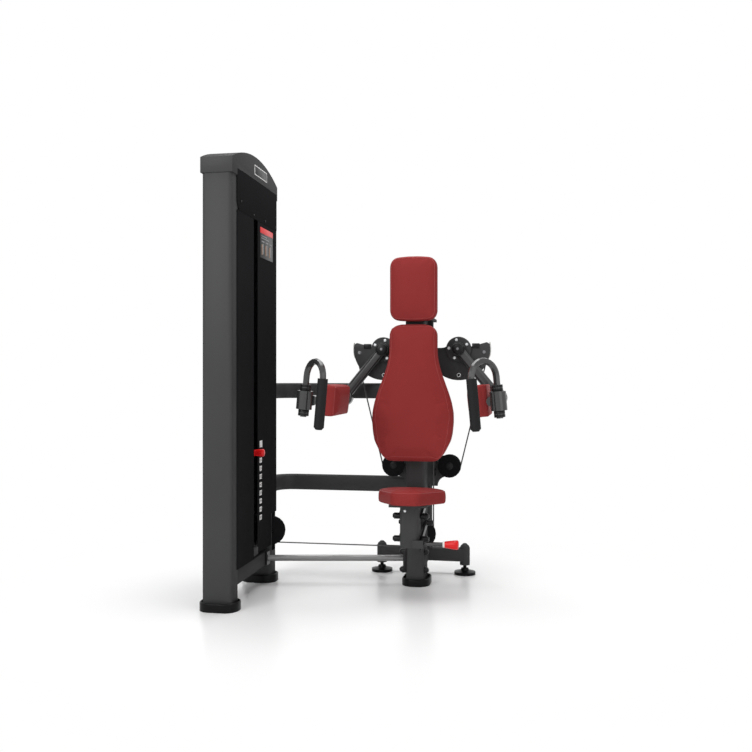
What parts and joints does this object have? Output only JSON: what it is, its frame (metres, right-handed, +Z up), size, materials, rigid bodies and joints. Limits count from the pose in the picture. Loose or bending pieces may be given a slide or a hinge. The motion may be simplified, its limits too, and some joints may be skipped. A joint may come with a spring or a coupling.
{
  "type": "lateral raise gym machine",
  "caption": "Seated side-shoulder raise machine: padded lever arms on half-round cams, a cable train and a shrouded pin-selected weight tower beside a lifting seat.",
  "frame": {"origin": "on the floor, under the middle of the main column", "axes": "+Z up, the seated user faces -Y, the weight tower stands on the -X side"},
  "size_m": [1.1659, 0.8902, 1.79],
  "materials": {
    "frame_grey": "satin dark grey powder coat",
    "gloss_black": "glossy black panel",
    "rubber": "matte black rubber",
    "chrome": "polished",
    "stack_black": "black enamel",
    "pulley_black": "moulded dark plastic",
    "steel_grey": "plain grey steel",
    "red_vinyl": "stitched vinyl cover over foam",
    "red_plastic": "bright red knob",
    "coated_wire": "sheathed wire rope"
  },
  "bodies": {
    "frame": {"tower_front_upright": "frame_grey", "tower_rear_upright": "frame_grey", "tower_front_boot": "rubber", "tower_rear_boot": "rubber", "tower_base_rail": "frame_grey", "tower_top_rail": "frame_grey", "tower_cap": "frame_grey", "header_panel": "gloss_black", "shroud_front": "gloss_black", "shroud_rear": "gloss_black", "shroud_left": "gloss_black", "guide_rod_front": "chrome", "guide_rod_rear": "chrome", "stack_buffer": "rubber", "weight_stack": "stack_black", "upper_beam": "frame_grey", "lower_beam": "frame_grey", "base_link": "frame_grey", "main_column": "frame_grey", "column_boot": "rubber", "rear_frame": "frame_grey", "left_foot": "rubber", "right_foot": "rubber", "pad_frame": "frame_grey", "back_pad": "red_vinyl", "headrest": "red_vinyl", "pivot_head": "frame_grey", "pulley_plate": "frame_grey", "main_cable": "coated_wire", "arm_cable": "coated_wire", "lift_cable": "coated_wire", "block_cable": "coated_wire"},
    "left_arm": {"left_arm": "frame_grey", "left_cam": "steel_grey", "left_arm_pad": "red_vinyl", "left_cam_cable": "coated_wire"},
    "right_arm": {"right_arm": "frame_grey", "right_cam": "steel_grey", "right_arm_pad": "red_vinyl", "right_cam_cable": "coated_wire"},
    "left_handle": {"left_handle": "steel_grey", "left_grip": "rubber"},
    "right_handle": {"right_handle": "steel_grey", "right_grip": "rubber"},
    "carriage": {"carriage": "stack_black"},
    "selector_pin": {"selector_pin": "red_plastic"},
    "block": {"floating_fork": "steel_grey"},
    "floating_pulley": {"floating_pulley": "pulley_black"},
    "seat": {"seat_carrier": "frame_grey", "seat_pad": "red_vinyl"},
    "upper_link": {"upper_link": "frame_grey"},
    "lower_link": {"lower_link": "frame_grey"},
    "seat_pull_pin": {"seat_pull_pin": "red_plastic"},
    "lower_pulley_left": {"lower_pulley_left": "pulley_black"},
    "lower_pulley_right": {"lower_pulley_right": "pulley_black"},
    "base_pulley": {"base_pulley": "pulley_black"},
    "column_top_pulley": {"column_top_pulley": "pulley_black"},
    "bottom_pulley": {"bottom_pulley": "pulley_black"},
    "top_pulley_front": {"top_pulley_front": "pulley_black"},
    "top_pulley_rear": {"top_pulley_rear": "pulley_black"}
  },
  "joints": [
    {"name": "left_arm_raise", "type": "hinge", "parent": "frame", "child": "left_arm", "pos_m": [-0.169, 0.15, 1.014], "axis": [0, 1, 0], "range_deg": [0, 80]},
    {"name": "right_arm_raise", "type": "hinge", "parent": "frame", "child": "right_arm", "pos_m": [0.169, 0.15, 1.014], "axis": [0, -1, 0], "range_deg": [0, 80]},
    {"name": "carriage_lift", "type": "slide", "parent": "frame", "child": "carriage", "axis": [0, 0, 1], "range_m": [0, 0.183], "deforming": ["lift_cable"]},
    {"name": "block_drop", "type": "slide", "parent": "frame", "child": "block", "axis": [0, 0, -1], "range_m": [0, 0.183], "deforming": ["block_cable", "arm_cable"]},
    {"name": "floating_pulley_turn", "type": "hinge", "parent": "block", "child": "floating_pulley", "pos_m": [0, 0.15, 0.85], "axis": [0, 1, 0], "continuous": true},
    {"name": "lower_pulley_left_turn", "type": "hinge", "parent": "frame", "child": "lower_pulley_left", "pos_m": [-0.126, 0.15, 0.493], "axis": [0, 1, 0], "range_deg": [0, 225]},
    {"name": "lower_pulley_right_turn", "type": "hinge", "parent": "frame", "child": "lower_pulley_right", "pos_m": [0.126, 0.15, 0.493], "axis": [0, -1, 0], "range_deg": [0, 225]},
    {"name": "column_top_pulley_turn", "type": "hinge", "parent": "frame", "child": "column_top_pulley", "pos_m": [0.03, 0.1275, 1.078], "axis": [-0.6, -0.8, 0], "range_deg": [0, 290]},
    {"name": "base_pulley_turn", "type": "hinge", "parent": "frame", "child": "base_pulley", "pos_m": [0.00317, 0.09072, 0.197], "axis": [0.2438, -0.9698, 0], "range_deg": [0, 190]},
    {"name": "bottom_pulley_turn", "type": "hinge", "parent": "frame", "child": "bottom_pulley", "pos_m": [-0.63396, -0.06942, 0.22], "axis": [0.2438, -0.9698, 0], "range_deg": [0, 215]},
    {"name": "top_pulley_front_turn", "type": "hinge", "parent": "frame", "child": "top_pulley_front", "pos_m": [-0.684, -0.2719, 1.69], "axis": [-1, 0, 0], "range_deg": [0, 240]},
    {"name": "top_pulley_rear_turn", "type": "hinge", "parent": "frame", "child": "top_pulley_rear", "pos_m": [-0.684, -0.1276, 1.69], "axis": [-1, 0, 0], "range_deg": [0, 240]},
    {"name": "left_handle_swivel", "type": "hinge", "parent": "left_arm", "child": "left_handle", "pos_m": [-0.3709, -0.4875, 0.80227], "axis": [0.0872, 0, 0.9962], "range_deg": [-45, 30]},
    {"name": "right_handle_swivel", "type": "hinge", "parent": "right_arm", "child": "right_handle", "pos_m": [0.3709, -0.4875, 0.80227], "axis": [0.0872, 0, -0.9962], "range_deg": [-45, 30]},
    {"name": "selector_pin_pull", "type": "slide", "parent": "carriage", "child": "selector_pin", "axis": [1, 0, 0], "range_m": [0, 0.08]},
    {"name": "seat_rise", "type": "hinge", "parent": "frame", "child": "upper_link", "pos_m": [0, -0.02562, 0.3607], "axis": [-1, 0, 0], "range_deg": [0, 28]},
    {"name": "lower_link_rise", "type": "hinge", "parent": "frame", "child": "lower_link", "pos_m": [0, -0.02562, 0.26671], "axis": [-1, 0, 0], "range_deg": [0, 28]},
    {"name": "seat_level", "type": "hinge", "parent": "upper_link", "child": "seat", "pos_m": [0, -0.185, 0.318], "axis": [-1, 0, 0], "range_deg": [-28, 0]},
    {"name": "seat_pin_push", "type": "slide", "parent": "seat", "child": "seat_pull_pin", "axis": [1, 0, 0], "range_m": [-0.008, 0]}
  ],
  "couplings": [
    {"joint": "right_arm_raise", "follows": "left_arm_raise", "ratio": 1},
    {"joint": "carriage_lift", "follows": "left_arm_raise", "m_per_rad": 0.1301},
    {"joint": "block_drop", "follows": "left_arm_raise", "m_per_rad": 0.1301},
    {"joint": "lower_pulley_left_turn", "follows": "left_arm_raise", "ratio": 2.677},
    {"joint": "lower_pulley_right_turn", "follows": "left_arm_raise", "ratio": 2.677},
    {"joint": "column_top_pulley_turn", "follows": "left_arm_raise", "ratio": 3.4693},
    {"joint": "base_pulley_turn", "follows": "left_arm_raise", "ratio": 2.2201},
    {"joint": "bottom_pulley_turn", "follows": "left_arm_raise", "ratio": 2.5213},
    {"joint": "top_pulley_front_turn", "follows": "left_arm_raise", "ratio": 2.8531},
    {"joint": "top_pulley_rear_turn", "follows": "left_arm_raise", "ratio": 2.8531},
    {"joint": "lower_link_rise", "follows": "seat_rise", "ratio": 1},
    {"joint": "seat_level", "follows": "seat_rise", "ratio": -1}
  ]
}
